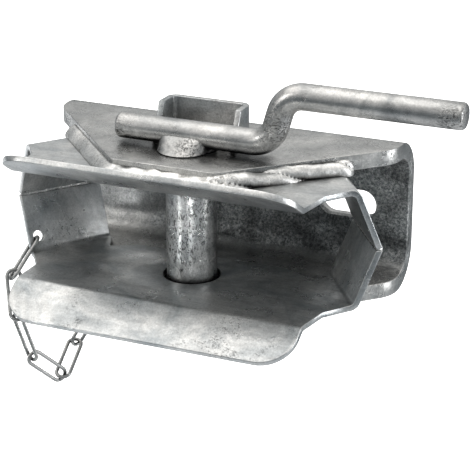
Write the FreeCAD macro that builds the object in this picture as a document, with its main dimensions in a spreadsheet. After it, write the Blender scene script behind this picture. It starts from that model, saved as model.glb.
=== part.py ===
import FreeCAD, Part
import math
import os
from FreeCAD import Vector

# Tow hitch with a funnel-shaped jaw. Row frame: X to the right, the jaw opens towards -Y,
# +Z up. The origin is the centre of the flat mounting face at the back of the channel.

doc = FreeCAD.newDocument("tow_hitch")
sheet = doc.addObject("Spreadsheet::Sheet", "Sizes")

SIZES = [
    ("plate_thickness", 8.0, "flange and web plate"),
    ("jaw_thickness", 3.0, "jaw plate"),
    ("jaw_opening", 55.0, "clear height between the jaw plates"),
    ("channel_width", 185.0, "width of the web"),
    ("front_width", 54.0, "width of a flange at its front edge"),
    ("pin_setback", 65.0, "mounting face to pin axis"),
    ("front_reach", 32.5, "pin axis to the flange's front edge"),
    ("full_width_behind", 37.0, "pin axis back to where a flange is full width"),
    ("web_bend_radius", 20.0, "outer radius of the channel's bends"),
    ("corner_radius", 18.0, "rounded outer corners of a flange"),
    ("nose_radius", 5.0, "rounded front corners of a flange"),
    ("slot_width", 15.0, "height of a mounting slot"),
    ("slot_length", 31.0, "overall length of a mounting slot"),
    ("slot_spacing", 120.0, "between slot centres"),
    ("pin_diameter", 25.0, "hitch pin"),
    ("pin_hole", 28.5, "pin hole in plates and flanges"),
    ("pin_below_floor", 28.0, "pin end below the jaw floor"),
    ("pin_above_flange", 3.0, "pin head above the upper flange"),
    ("pin_rim", 0.5, "broken edge of the pin head"),
    ("pin_point_length", 4.0, "tapered end of the pin"),
    ("pin_point_inset", 3.0, "taper of the pin's end"),
    ("clip_hole", 3.6, "cross hole in the pin"),
    ("clip_wire", 3.2, "wire of the retaining clip"),
    ("clip_drop", 18.2, "jaw floor down to the clip"),
    ("clip_leg", 26.0, "pin axis to the end of the clip's straight leg"),
    ("clip_eye_out", 20.0, "pin axis to the centre of the clip's eye"),
    ("clip_eye_radius", 5.5, "bend of the clip's eye"),
    ("clip_fit", 0.44, "clip's bent leg off the pin"),
    ("clip_waist", 5.1, "start of the leg's curve, behind the pin axis"),
    ("clip_tail_out", 8.5, "leg's free end, outside its curve"),
    ("clip_tail_back", 12.0, "leg's free end, behind the pin axis"),
    ("clip_bend", 2.5, "small bends of the clip"),
    ("lip_length", 23.5, "flared lip from bend to edge"),
    ("lip_angle", 33.0, "flare of a lip from the plate"),
    ("lip_reach", 39.5, "pin axis to the lip's bend"),
    ("lip_half_width", 76.0, "half width of a lip"),
    ("lip_offset", 1.0, "lips sit this far to the left"),
    ("lip_corner_radius", 17.0, "rounded ends of a lip"),
    ("bend_inner_radius", 3.0, "inner radius of the jaw's bends"),
    ("wing_front_x", 87.6, "wing fold at the front"),
    ("wing_front_y", -6.6, "wing fold at the front"),
    ("wing_rear_x", 61.7, "wing fold at the rear"),
    ("wing_rear_y", 30.3, "wing fold at the rear"),
    ("wing_flare", 11.0, "wing leans out by this at mid-height"),
    ("notch_x", 77.4, "relief notch between wing and lip"),
    ("notch_y", -20.0, "relief notch between wing and lip"),
    ("rear_notch_x", 55.5, "relief notch behind the wing"),
    ("rear_notch_y", 18.0, "relief notch behind the wing"),
    ("rear_edge_x", 40.0, "end of the straight rear edge"),
    ("rear_edge_y", 25.5, "rear edge of a jaw plate"),
    ("seam_gap", 1.2, "root gap of the jaw seams"),
    ("seam_bead", 0.3, "height of a seam bead over the plate"),
    ("seam_leg", 2.0, "half width of a seam bead"),
    ("bead_leg", 5.0, "leg of the flange bead"),
    ("bead_run", 72.0, "flange bead along each sloping edge"),
    ("chain_hole", 5.8, "hole for the chain"),
    ("chain_hole_in", 5.45, "chain hole from the wing's front edge"),
    ("chain_hole_up", 7.45, "chain hole up from the fold"),
    ("handle_diameter", 13.0, "handle bar"),
    ("handle_forward", 4.0, "handle axis in front of the pin axis"),
    ("handle_lift", 8.0, "lower handle axis above the flange"),
    ("handle_rise", 25.0, "between the two straight runs"),
    ("handle_left", 36.5, "lower run's end, left of the pin"),
    ("handle_step_low", 43.5, "start of the rise"),
    ("handle_step_high", 51.0, "end of the rise"),
    ("handle_right", 138.0, "upper run's end, right of the pin"),
    ("handle_bend", 12.5, "bend radius of the bar's axis"),
    ("handle_chamfer", 1.0, "broken edge at both ends of the bar"),
    ("handle_weld_rise", 5.6, "front handle weld, up from the pin head"),
    ("handle_weld_lap", 0.4, "top of the front weld, out from the bar"),
    ("handle_bead", 2.6, "radius of the bead behind the bar"),
    ("handle_bead_taper", 1.6, "tapered ends of that bead"),
    ("stop_width", 44.0, "outer width of the handle stop"),
    ("stop_height", 18.0, "height of the handle stop"),
    ("stop_strip", 3.0, "strip of the handle stop"),
    ("stop_back", 24.0, "stop's back, behind the pin axis"),
    ("stop_bend", 5.0, "outer bend radius of the stop"),
    ("stop_leg_top", 10.0, "leg's upper front corner, behind the pin axis"),
    ("stop_leg_foot", 2.2, "leg's lower front corner, behind the pin axis"),
    ("stop_bead", 1.9, "radius of the bead inside the stop"),
    ("link_wire", 2.0, "chain wire"),
    ("link_length", 28.0, "outer length of a link"),
    ("link_width", 9.2, "outer width of a link"),
    ("link_seam", 0.3, "gap between the ends of a link's wire"),
]
for row, (alias, value, note) in enumerate(SIZES, start=1):
    sheet.set("A%d" % row, alias)
    sheet.set("B%d" % row, "%.3f" % value)
    sheet.set("C%d" % row, note)
    sheet.setAlias("B%d" % row, alias)
doc.recompute()


def size(alias):
    """The value of a named size, read from the sheet."""
    return float(sheet.get(alias))


PLATE = size("plate_thickness")
JAW = size("jaw_thickness")
OPENING = size("jaw_opening")
PIN_Y = -size("pin_setback")
FLOOR_Z = -OPENING / 2
HALF_HEIGHT = OPENING / 2 + JAW + PLATE
FLANGE_TOP = HALF_HEIGHT
HALF_WIDTH = size("channel_width") / 2


def at_pin(x, y, z=0.0):
    """A point given from the pin axis, in the row frame."""
    return Vector(x, PIN_Y + y, z)


def polygon_face(points):
    return Part.Face(Part.makePolygon(list(points) + [points[0]]))


def prism(points, direction):
    return polygon_face(points).extrude(direction)


def ngon(points, radii):
    """Closed outline in a plane with a rounded corner wherever a radius is given."""
    count = len(points)
    edges = []
    ends = []
    for index, corner in enumerate(points):
        before = points[index - 1]
        after = points[(index + 1) % count]
        radius = radii[index]
        if radius <= 0:
            ends.append((corner, corner, None))
            continue
        to_before = (before - corner).normalize()
        to_after = (after - corner).normalize()
        half = to_before.getAngle(to_after) / 2
        run = radius / math.tan(half)
        bisector = (to_before + to_after).normalize()
        centre = corner + bisector * (radius / math.sin(half))
        middle = centre - bisector * radius
        ends.append((corner + to_before * run, corner + to_after * run, middle))
    for index, (start, end, middle) in enumerate(ends):
        if middle is not None:
            edges.append(Part.Arc(start, middle, end).toShape())
        following = ends[(index + 1) % count][0]
        if (following - end).Length > 1e-6:
            edges.append(Part.LineSegment(end, following).toShape())
    return Part.Face(Part.Wire(edges))


def stadium(start, end, radius):
    """Flat outline of a slot with round ends about two centres."""
    along = (end - start).normalize()
    across = Vector(-along.y, along.x, 0) * radius
    edges = [
        Part.LineSegment(start - across, end - across).toShape(),
        Part.Arc(end - across, end + along * radius, end + across).toShape(),
        Part.LineSegment(end + across, start + across).toShape(),
        Part.Arc(start + across, start - along * radius, start - across).toShape(),
    ]
    return Part.Face(Part.Wire(edges))


def rounded_path(points, radii):
    """Open wire through the points, each inner corner rounded."""
    edges = []
    start = points[0]
    for index in range(1, len(points) - 1):
        corner = points[index]
        to_before = (points[index - 1] - corner).normalize()
        to_after = (points[index + 1] - corner).normalize()
        half = to_before.getAngle(to_after) / 2
        radius = radii[index - 1]
        run = radius / math.tan(half)
        bisector = (to_before + to_after).normalize()
        middle = corner + bisector * (radius / math.sin(half) - radius)
        first = corner + to_before * run
        last = corner + to_after * run
        if (first - start).Length > 1e-6:
            edges.append(Part.LineSegment(start, first).toShape())
        edges.append(Part.Arc(first, middle, last).toShape())
        start = last
    edges.append(Part.LineSegment(start, points[-1]).toShape())
    return Part.Wire(edges)


def follow(wire, section_at):
    """A solid along a wire of lines and arcs: an extrusion or a piece of revolution for each edge."""
    pieces = []
    for edge in wire.OrderedEdges:
        low, high = edge.FirstParameter, edge.LastParameter
        start = edge.valueAt(low)
        tangent = edge.tangentAt(low)
        section = section_at(start, tangent)
        if isinstance(edge.Curve, Part.Line):
            pieces.append(section.extrude(edge.valueAt(high) - start))
        else:
            axis = edge.Curve.Axis
            if axis.cross(start - edge.Curve.Center).dot(tangent) < 0:
                axis = axis * -1
            turn = math.degrees(edge.Length / edge.Curve.Radius)
            pieces.append(section.revolve(edge.Curve.Center, axis, turn))
    if len(pieces) == 1:
        return pieces[0]
    return pieces[0].fuse(pieces[1:]).removeSplitter()


def round_bar(wire, diameter):
    """A round bar along a wire."""
    def disc(start, tangent):
        return Part.Face(Part.Wire([Part.Circle(start, tangent, diameter / 2).toShape()]))
    return follow(wire, disc)


def wire_bar(wire, normal, diameter, sides=12, turn_step=30):
    """A bar of many-sided section along a flat open wire, in few faces: each arc is a run of short
    straight lengths, mitred in the arc's own planes."""
    stations = []
    for edge in wire.OrderedEdges:
        low, high = edge.FirstParameter, edge.LastParameter
        count = 1
        if not isinstance(edge.Curve, Part.Line):
            turn = math.degrees(edge.Length / edge.Curve.Radius)
            count = max(1, round(turn / turn_step))
        if not stations:
            stations.append((edge.valueAt(low), edge.tangentAt(low)))
        for step in range(1, count + 1):
            parameter = low + (high - low) * step / count
            stations.append((edge.valueAt(parameter), edge.tangentAt(parameter)))
    rings = []
    for point, tangent in stations:
        across = normal.cross(tangent).normalize()
        ring = []
        for side in range(sides):
            angle = 2 * math.pi * (side + 0.5) / sides
            offset = across * math.cos(angle) + normal * math.sin(angle)
            ring.append(point + offset * (diameter / 2))
        rings.append(ring)
    faces = [polygon_face(rings[0]), polygon_face(rings[-1])]
    for one, two in zip(rings, rings[1:]):
        for side in range(sides):
            after = (side + 1) % sides
            faces.append(polygon_face([one[side], one[after], two[after], two[side]]))
    solid = Part.Solid(Part.makeShell(faces))
    if solid.Volume < 0:
        solid.reverse()
    return solid


def biggest(shape):
    """The largest solid of a boolean result."""
    solids = sorted(shape.Solids, key=lambda solid: solid.Volume)
    return solids[-1]


def add_feature(label, shape):
    feature = doc.addObject("Part::Feature", label)
    feature.Label = label
    feature.Shape = shape
    return feature


# Mounting channel: one plate bent into a C on its side, modelled as a sketched profile that is
# padded across the width, then trimmed in plan and bored.

channel = doc.addObject("PartDesign::Body", "mounting_channel")
channel.Label = "mounting_channel"


def origin_plane(body, role):
    for feature in body.Origin.OriginFeatures:
        if feature.Role == role:
            return feature
    return None


def sketch_on(body, role, name):
    sketch = body.newObject("Sketcher::SketchObject", name)
    sketch.AttachmentSupport = [(origin_plane(body, role), "")]
    sketch.MapMode = "FlatFace"
    return sketch


def add_outline(sketch, face):
    """Copy a flat outline into a sketch."""
    for edge in face.OuterWire.Edges:
        if isinstance(edge.Curve, Part.Line):
            ends = [vertex.Point for vertex in edge.Vertexes]
            sketch.addGeometry(Part.LineSegment(ends[0], ends[1]), False)
        else:
            arc = Part.ArcOfCircle(edge.Curve, edge.FirstParameter, edge.LastParameter)
            sketch.addGeometry(arc, False)


def both_ways(feature):
    """Run a pad or pocket to both sides of its sketch."""
    if hasattr(feature, "SideType"):
        feature.SideType = "Symmetric"
    else:
        feature.Midplane = True


def pocket_through(body, sketch, name):
    pocket = body.newObject("PartDesign::Pocket", name)
    pocket.Profile = sketch
    pocket.Type = "ThroughAll"
    both_ways(pocket)
    return pocket


bend = size("web_bend_radius")
front_y = PIN_Y - size("front_reach")
outer_profile = [
    Vector(front_y, HALF_HEIGHT),
    Vector(0, HALF_HEIGHT),
    Vector(0, -HALF_HEIGHT),
    Vector(front_y, -HALF_HEIGHT),
    Vector(front_y, PLATE - HALF_HEIGHT),
    Vector(-PLATE, PLATE - HALF_HEIGHT),
    Vector(-PLATE, HALF_HEIGHT - PLATE),
    Vector(front_y, HALF_HEIGHT - PLATE),
]
inner_bend = bend - PLATE
channel_section = sketch_on(channel, "YZ_Plane", "ChannelSection")
add_outline(channel_section, ngon(outer_profile, [0, bend, bend, 0, 0, inner_bend, inner_bend, 0]))
channel_pad = channel.newObject("PartDesign::Pad", "ChannelPad")
channel_pad.Profile = channel_section
both_ways(channel_pad)
channel_pad.setExpression("Length", "Sizes.channel_width + 4")

shoulder_y = PIN_Y + size("full_width_behind")
nose = size("front_width") / 2
plan_points = [
    Vector(nose, front_y),
    Vector(HALF_WIDTH, shoulder_y),
    Vector(HALF_WIDTH, 10),
    Vector(-HALF_WIDTH, 10),
    Vector(-HALF_WIDTH, shoulder_y),
    Vector(-nose, front_y),
]
plan_radii = [
    size("nose_radius"),
    size("corner_radius"),
    0,
    0,
    size("corner_radius"),
    size("nose_radius"),
]
around = [
    Vector(HALF_WIDTH + 20, front_y - 20),
    Vector(HALF_WIDTH + 20, 30),
    Vector(-HALF_WIDTH - 20, 30),
    Vector(-HALF_WIDTH - 20, front_y - 20),
]
plan_sketch = sketch_on(channel, "XY_Plane", "FlangePlan")
add_outline(plan_sketch, ngon(around, [0, 0, 0, 0]))
add_outline(plan_sketch, ngon(plan_points, plan_radii))
pocket_through(channel, plan_sketch, "PlanTrim")

bore_sketch = sketch_on(channel, "XY_Plane", "PinBores")
pin_circle = Part.Circle(Vector(0, PIN_Y, 0), Vector(0, 0, 1), size("pin_hole") / 2)
bore_sketch.addGeometry(pin_circle, False)
pocket_through(channel, bore_sketch, "PinBorePocket")

slot_sketch = sketch_on(channel, "XZ_Plane", "MountingSlots")
slot_radius = size("slot_width") / 2
slot_half = Vector(size("slot_length") / 2 - slot_radius, 0, 0)
for side in (-1, 1):
    slot_centre = Vector(side * size("slot_spacing") / 2, 0, 0)
    outline = stadium(slot_centre - slot_half, slot_centre + slot_half, slot_radius)
    add_outline(slot_sketch, outline)
pocket_through(channel, slot_sketch, "SlotPocket")
doc.recompute()


# Jaw shells. The lower shell is built from its flat plate, a lip bent down and two wings bent up;
# the upper shell is its mirror image, without the chain hole.

inner_radius = size("bend_inner_radius")
lip_turn = size("lip_angle")
lip_run = (inner_radius + JAW) * math.tan(math.radians(lip_turn) / 2)
lip_start_y = PIN_Y - size("lip_reach") + lip_run
wing_tilt = math.degrees(math.atan(size("wing_flare") / (OPENING / 2)))
wing_turn = 90 - wing_tilt
wing_run = inner_radius * math.tan(math.radians(wing_turn) / 2)


def wing_frame(side):
    """Front and rear ends of a wing's fold, with its unit direction and outward normal."""
    front = at_pin(side * size("wing_front_x"), size("wing_front_y"), FLOOR_Z)
    rear = at_pin(side * size("wing_rear_x"), size("wing_rear_y"), FLOOR_Z)
    along = (rear - front).normalize()
    outward = Vector(side * abs(along.y), abs(along.x), 0)
    return front, rear, along, outward


def bent_tab(start, end, outward, low_z, high_z, axis_z, turn, length):
    """A tab that leaves a plate's edge, turns about an axis along that edge, then runs straight."""
    section = polygon_face([
        Vector(start.x, start.y, low_z),
        Vector(end.x, end.y, low_z),
        Vector(end.x, end.y, high_z),
        Vector(start.x, start.y, high_z),
    ])
    axis_point = Vector(start.x, start.y, axis_z)
    up = Vector(0, 0, 1) if turn > 0 else Vector(0, 0, -1)
    axis = outward.cross(up)
    knuckle = section.revolve(axis_point, axis, abs(turn))
    far = section.copy()
    far.rotate(axis_point, axis, abs(turn))
    angle = math.radians(abs(turn))
    direction = outward * math.cos(angle) + up * math.sin(angle)
    tab = far.extrude(direction * length)
    return knuckle, tab, direction


def rounded_tip(tab, direction, radius, reach):
    """Round the two corners of a tab's free end."""
    corners = []
    for edge in tab.Edges:
        if not isinstance(edge.Curve, Part.Line):
            continue
        ends = [vertex.Point for vertex in edge.Vertexes]
        span = ends[1] - ends[0]
        if abs(span.Length - JAW) > 0.01 or abs(span.dot(direction)) > 0.01:
            continue
        if min(point.dot(direction) for point in ends) > reach:
            corners.append(edge)
    return tab.makeFillet(radius, corners)


def lower_shell():
    outline = []
    half_lip = size("lip_half_width")
    offset = size("lip_offset")
    for side in (1, -1):
        front, rear, along, outward = wing_frame(side)
        half = [
            at_pin(side * half_lip - offset, 0, FLOOR_Z - JAW),
            at_pin(side * size("notch_x"), size("notch_y"), FLOOR_Z - JAW),
            front - outward * wing_run - Vector(0, 0, JAW),
            rear - outward * wing_run - Vector(0, 0, JAW),
            at_pin(side * size("rear_notch_x"), size("rear_notch_y"), FLOOR_Z - JAW),
            at_pin(side * size("rear_edge_x"), size("rear_edge_y"), FLOOR_Z - JAW),
        ]
        half[0].y = lip_start_y
        outline += half if side > 0 else half[::-1]
    shell = prism(outline, Vector(0, 0, JAW))

    knuckle, lip, direction = bent_tab(
        Vector(-half_lip - offset, lip_start_y, 0),
        Vector(half_lip - offset, lip_start_y, 0),
        Vector(0, -1, 0),
        FLOOR_Z - JAW,
        FLOOR_Z,
        FLOOR_Z - JAW - inner_radius,
        -lip_turn,
        size("lip_length") - lip_run,
    )
    reach = max(vertex.Point.dot(direction) for vertex in lip.Vertexes) - size("lip_length") / 4
    pieces = [knuckle, rounded_tip(lip, direction, size("lip_corner_radius"), reach)]

    for side in (1, -1):
        front, rear, along, outward = wing_frame(side)
        knuckle, wing, direction = bent_tab(
            front - outward * wing_run,
            rear - outward * wing_run,
            outward,
            FLOOR_Z - JAW,
            FLOOR_Z,
            FLOOR_Z + inner_radius,
            wing_turn,
            OPENING,
        )
        corner = Vector(-2 * HALF_WIDTH, PIN_Y - 2 * HALF_WIDTH, -size("seam_gap") / 2)
        above = Part.makeBox(4 * HALF_WIDTH, 4 * HALF_WIDTH, 2 * OPENING, corner)
        pieces += [knuckle, wing.cut(above)]
    shell = shell.fuse(pieces).removeSplitter()
    bore = Part.makeCylinder(size("pin_hole") / 2, 3 * JAW, at_pin(0, 0, FLOOR_Z - 2 * JAW))
    return shell.cut(bore)


def chain_hole_frame():
    """Centre of the chain hole on the left lower wing, with the wing's outward normal."""
    front, rear, along, outward = wing_frame(-1)
    tilt = math.radians(wing_tilt)
    rise = outward * math.sin(tilt) + Vector(0, 0, math.cos(tilt))
    normal = outward * math.cos(tilt) - Vector(0, 0, math.sin(tilt))
    inside = front + along * size("chain_hole_in") + rise * size("chain_hole_up")
    return inside + normal * (JAW / 2), normal


plain_shell = lower_shell()
hole_centre, hole_normal = chain_hole_frame()
drill = Part.makeCylinder(
    size("chain_hole") / 2,
    4 * JAW,
    hole_centre - hole_normal * (2 * JAW),
    hole_normal,
)
lower_jaw = biggest(plain_shell.cut(drill))
upper_jaw = biggest(plain_shell.mirror(Vector(0, 0, 0), Vector(0, 0, 1)))
add_feature("lower_jaw_shell", lower_jaw)
add_feature("upper_jaw_shell", upper_jaw)


# Jaw seam welds: they fill the root gap between the two half wings and are ground nearly flush
# with the fold on the outside.

for side, label in ((-1, "jaw_seam_weld_left"), (1, "jaw_seam_weld_right")):
    front, rear, along, outward = wing_frame(side)
    ridge = outward * size("wing_flare")
    root = front + ridge + along * 0.4
    root.z = 0
    run = along * ((rear - front).Length - 0.8)
    reach = JAW / math.cos(math.radians(wing_tilt))
    crest = outward * (reach + size("seam_bead"))
    shoulder = outward * (reach * 0.72)
    height = Vector(0, 0, size("seam_leg"))
    section = [root - height * 0.2, root + shoulder - height, root + crest - height * 0.35]
    section += [root + crest + height * 0.35, root + shoulder + height, root + height * 0.2]
    bead = prism(section, run)
    bead = bead.cut(lower_jaw).cut(upper_jaw)
    add_feature(label, biggest(bead))


# Flange welds: a bead in the corner between a flange's edge and the jaw plate it holds.

channel_shape = channel.Tip.Shape


def flange_weld(level, up):
    slope = Vector(HALF_WIDTH - nose, shoulder_y - front_y, 0)
    far = slope * (size("bead_run") / slope.Length)
    path_points = [
        Vector(-nose - far.x, front_y + far.y, level),
        Vector(-nose, front_y, level),
        Vector(nose, front_y, level),
        Vector(nose + far.x, front_y + far.y, level),
    ]
    leg = size("bead_leg")

    def corner_section(start, tangent):
        outward = Vector(tangent.y, -tangent.x, 0)
        steps = [math.radians(30 * step) for step in range(4)]
        rim = [outward * math.cos(turn) + Vector(0, 0, up * math.sin(turn)) for turn in steps]
        return polygon_face([start] + [start + spoke * leg for spoke in rim])

    bead = follow(rounded_path(path_points, [size("nose_radius")] * 2), corner_section)
    first_along = (path_points[1] - path_points[0]).normalize()
    last_along = (path_points[3] - path_points[2]).normalize()
    first_end = corner_section(path_points[0], first_along)
    last_end = corner_section(path_points[3], last_along)
    ends = [
        first_end.revolve(path_points[0], Vector(0, 0, -1), 90),
        last_end.revolve(path_points[3], Vector(0, 0, 1), 90),
    ]
    return bead.fuse(ends).removeSplitter()


add_feature("top_flange_weld", flange_weld(HALF_HEIGHT - PLATE, 1))
add_feature("bottom_flange_weld", flange_weld(PLATE - HALF_HEIGHT, -1))


# Handle stop: an upright U of strip, open towards the front; its legs' front edges slope.

stop_half = size("stop_width") / 2
strip = size("stop_strip")
stop_back = size("stop_back")
stop_outer = size("stop_bend")
leg_start = size("stop_leg_foot") - strip
stop_outline = [
    at_pin(-stop_half, leg_start, FLANGE_TOP),
    at_pin(-stop_half, stop_back, FLANGE_TOP),
    at_pin(stop_half, stop_back, FLANGE_TOP),
    at_pin(stop_half, leg_start, FLANGE_TOP),
    at_pin(stop_half - strip, leg_start, FLANGE_TOP),
    at_pin(stop_half - strip, stop_back - strip, FLANGE_TOP),
    at_pin(strip - stop_half, stop_back - strip, FLANGE_TOP),
    at_pin(strip - stop_half, leg_start, FLANGE_TOP),
]
stop_radii = [0, stop_outer, stop_outer, 0, 0, stop_outer - strip, stop_outer - strip, 0]
stop_shape = ngon(stop_outline, stop_radii).extrude(Vector(0, 0, size("stop_height")))
stop_top = FLANGE_TOP + size("stop_height")
trim_x = -stop_half - strip
slope_points = [
    at_pin(trim_x, leg_start - strip, FLANGE_TOP - strip),
    at_pin(trim_x, size("stop_leg_foot"), FLANGE_TOP - strip),
    at_pin(trim_x, size("stop_leg_foot"), FLANGE_TOP),
    at_pin(trim_x, size("stop_leg_top"), stop_top),
    at_pin(trim_x, size("stop_leg_top"), stop_top + strip),
    at_pin(trim_x, leg_start - strip, stop_top + strip),
]
stop_shape = biggest(stop_shape.cut(prism(slope_points, Vector(-2 * trim_x, 0, 0))))
add_feature("handle_stop", stop_shape)

weld_x = stop_half - strip
weld_y = stop_back - strip
weld_start = size("stop_leg_top") - strip
weld_path = rounded_path(
    [
        at_pin(-weld_x, weld_start, FLANGE_TOP),
        at_pin(-weld_x, weld_y, FLANGE_TOP),
        at_pin(weld_x, weld_y, FLANGE_TOP),
        at_pin(weld_x, weld_start, FLANGE_TOP),
    ],
    [stop_outer - strip] * 2,
)
stop_weld = round_bar(weld_path, 2 * size("stop_bead"))
stop_weld = stop_weld.cut(stop_shape).cut(channel_shape)
add_feature("handle_stop_weld", biggest(stop_weld))


# Hitch pin: turned body with a tapered end, a saddle for the handle and a cross hole for the clip.

pin = doc.addObject("PartDesign::Body", "hitch_pin")
pin.Label = "hitch_pin"
pin_radius = size("pin_diameter") / 2
pin_low = FLOOR_Z - size("pin_below_floor")
pin_high = FLANGE_TOP + size("pin_above_flange")
pin_profile = [
    Vector(0, pin_low),
    Vector(pin_radius - size("pin_point_inset"), pin_low),
    Vector(pin_radius, pin_low + size("pin_point_length")),
    Vector(pin_radius, pin_high - size("pin_rim")),
    Vector(pin_radius - size("pin_rim"), pin_high),
    Vector(0, pin_high),
]
pin_section = sketch_on(pin, "XZ_Plane", "PinSection")
add_outline(pin_section, ngon(pin_profile, [0] * 6))
turned = pin.newObject("PartDesign::Revolution", "PinTurned")
turned.Profile = pin_section
turned.ReferenceAxis = (pin_section, ["V_Axis"])
turned.Angle = 360

handle_radius = size("handle_diameter") / 2
handle_z = FLANGE_TOP + size("handle_lift")
saddle = sketch_on(pin, "YZ_Plane", "HandleSaddle")
seat = Vector(-size("handle_forward"), handle_z, 0)
above_seat = seat + Vector(0, size("handle_diameter"), 0)
add_outline(saddle, stadium(seat, above_seat, handle_radius))
pocket_through(pin, saddle, "SaddlePocket")

clip_z = FLOOR_Z - size("clip_drop")
cross = sketch_on(pin, "YZ_Plane", "ClipHole")
cross_circle = Part.Circle(Vector(0, clip_z, 0), Vector(0, 0, 1), size("clip_hole") / 2)
cross.addGeometry(cross_circle, False)
pocket_through(pin, cross, "ClipHolePocket")
pin.Placement = FreeCAD.Placement(Vector(0, PIN_Y, 0), FreeCAD.Rotation())
doc.recompute()
pin_shape = pin.Shape


# Handle: one round bar bent into a Z and welded into the pin's saddle.

bar_y = -size("handle_forward")
upper_z = handle_z + size("handle_rise")
bar_path = rounded_path(
    [
        at_pin(-size("handle_left"), bar_y, handle_z),
        at_pin(size("handle_step_low"), bar_y, handle_z),
        at_pin(size("handle_step_high"), bar_y, upper_z),
        at_pin(size("handle_right"), bar_y, upper_z),
    ],
    [size("handle_bend")] * 2,
)
bar = round_bar(bar_path, size("handle_diameter"))
rims = []
for edge in bar.Edges:
    if isinstance(edge.Curve, Part.Circle) and abs(edge.Curve.Axis.x) > 0.99:
        if edge.BoundBox.XLength < 0.01:
            centre_x = edge.Curve.Center.x
            if abs(centre_x + size("handle_left")) < 0.01 or abs(centre_x - size("handle_right")) < 0.01:
                rims.append(edge)
bar = bar.makeChamfer(size("handle_chamfer"), rims)
add_feature("pin_handle", bar)

# In front the weld is a dome that flows from the pin head up to the bar; behind it is a plain bead.
dome_top = size("handle_forward") + handle_radius + size("handle_weld_lap")
dome = Part.makeCone(pin_radius, dome_top, size("handle_weld_rise"), at_pin(0, 0, pin_high))
dome_halves = sorted(dome.cut(bar).Solids, key=lambda solid: solid.CenterOfMass.y)
add_feature("handle_weld_front", dome_halves[0])

bead_radius = size("handle_bead")
bead_taper = size("handle_bead_taper")
bead_y = bar_y + handle_radius - 0.4
bead_z = pin_high - 0.6
bead_reach = math.sqrt(pin_radius ** 2 - bead_y ** 2) - 2.0
left_end = at_pin(-bead_reach, bead_y, bead_z)
back_weld = Part.makeCylinder(bead_radius, 2 * bead_reach, left_end, Vector(1, 0, 0))
for side in (-1, 1):
    root = at_pin(side * bead_reach, bead_y, bead_z)
    tip = Part.makeCone(bead_radius, bead_radius / 2, bead_taper, root, Vector(side, 0, 0))
    back_weld = back_weld.fuse(tip)
add_feature("handle_weld_back", biggest(back_weld.cut(bar).cut(pin_shape)))


# Retaining clip: one spring wire. Its straight leg runs through the pin, its other leg is bent
# round the back of the pin.

eye = size("clip_eye_radius")
eye_x = -size("clip_eye_out") - eye
hug = pin_radius + size("clip_wire") / 2 + size("clip_fit")
waist = size("clip_waist")
peak = (hug ** 2 + waist ** 2) / (2 * waist)
shoulder = hug + size("clip_wire")
small_bend = size("clip_bend")
clip_path = rounded_path(
    [
        at_pin(size("clip_leg"), 0, clip_z),
        at_pin(eye_x, 0, clip_z),
        at_pin(eye_x, 2 * eye, clip_z),
        at_pin(-shoulder, 2 * eye, clip_z),
        at_pin(-hug, waist, clip_z),
        at_pin(0, peak, clip_z),
        at_pin(hug, waist, clip_z),
        at_pin(hug + size("clip_tail_out"), size("clip_tail_back"), clip_z),
    ],
    [eye - 0.001, eye - 0.001, small_bend, small_bend, hug, small_bend],
)
clip = wire_bar(clip_path, Vector(0, 0, 1), size("clip_wire"))
add_feature("retaining_clip", clip)


# Safety chain: nine equal links of round wire. Each is placed by its centre (from the pin axis and
# the jaw floor), the direction of its long axis and the direction across its two legs.

LINKS = [
    ((-90.49, -9.74, -2.64), (-0.1918, -0.7291, -0.657), (-0.7593, 0.5344, -0.3714)),
    ((-88.96, -22.38, -18.13), (0.3054, -0.4167, -0.8562), (-0.7634, -0.6446, 0.0414)),
    ((-81.80, -26.60, -38.56), (0.3313, 0.0572, -0.9418), (-0.8787, 0.3823, -0.2859)),
    ((-74.22, -18.82, -56.71), (0.3577, 0.6419, -0.6782), (-0.4, -0.551, -0.7324)),
    ((-71.15, -1.34, -58.74), (-0.1259, 0.8876, 0.4431), (-0.9819, -0.1751, 0.0718)),
    ((-68.43, 14.21, -44.71), (0.3623, 0.4675, 0.8063), (0.1859, 0.8115, -0.554)),
    ((-55.74, 17.18, -39.23), (0.8623, -0.2198, -0.4562), (0.4721, 0.023, 0.8812)),
    ((-36.02, 9.92, -41.41), (0.8828, -0.4088, 0.2312), (0.3253, 0.8873, 0.3269)),
    ((-25.23, 5.50, -28.15), (0.0, 0.0, 1.0), (1.0, 0.0, 0.0)),
]


def link_shape():
    """One link: a racetrack of wire whose long axis is local X and whose width is local Y."""
    wire_size = size("link_wire")
    arc = (size("link_width") - wire_size) / 2
    half = (size("link_length") - wire_size) / 2 - arc
    seam = size("link_seam") / 2
    edges = [
        Part.LineSegment(Vector(-seam, -arc, 0), Vector(-half, -arc, 0)).toShape(),
        Part.Arc(Vector(-half, -arc, 0), Vector(-half - arc, 0, 0), Vector(-half, arc, 0)).toShape(),
        Part.LineSegment(Vector(-half, arc, 0), Vector(half, arc, 0)).toShape(),
        Part.Arc(Vector(half, arc, 0), Vector(half + arc, 0, 0), Vector(half, -arc, 0)).toShape(),
        Part.LineSegment(Vector(half, -arc, 0), Vector(seam, -arc, 0)).toShape(),
    ]
    return wire_bar(Part.Wire(edges), Vector(0, 0, 1), wire_size)


one_link = link_shape()
for number, (centre, along, across) in enumerate(LINKS, start=1):
    link = add_feature("chain_link_%d" % number, one_link.copy())
    long_axis = Vector(*along).normalize()
    face_axis = long_axis.cross(Vector(*across)).normalize()
    width_axis = face_axis.cross(long_axis)
    turn = FreeCAD.Rotation(long_axis, width_axis, face_axis, "XYZ")
    link.Placement = FreeCAD.Placement(at_pin(centre[0], centre[1], centre[2] + FLOOR_Z), turn)


# Write every piece.

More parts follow.
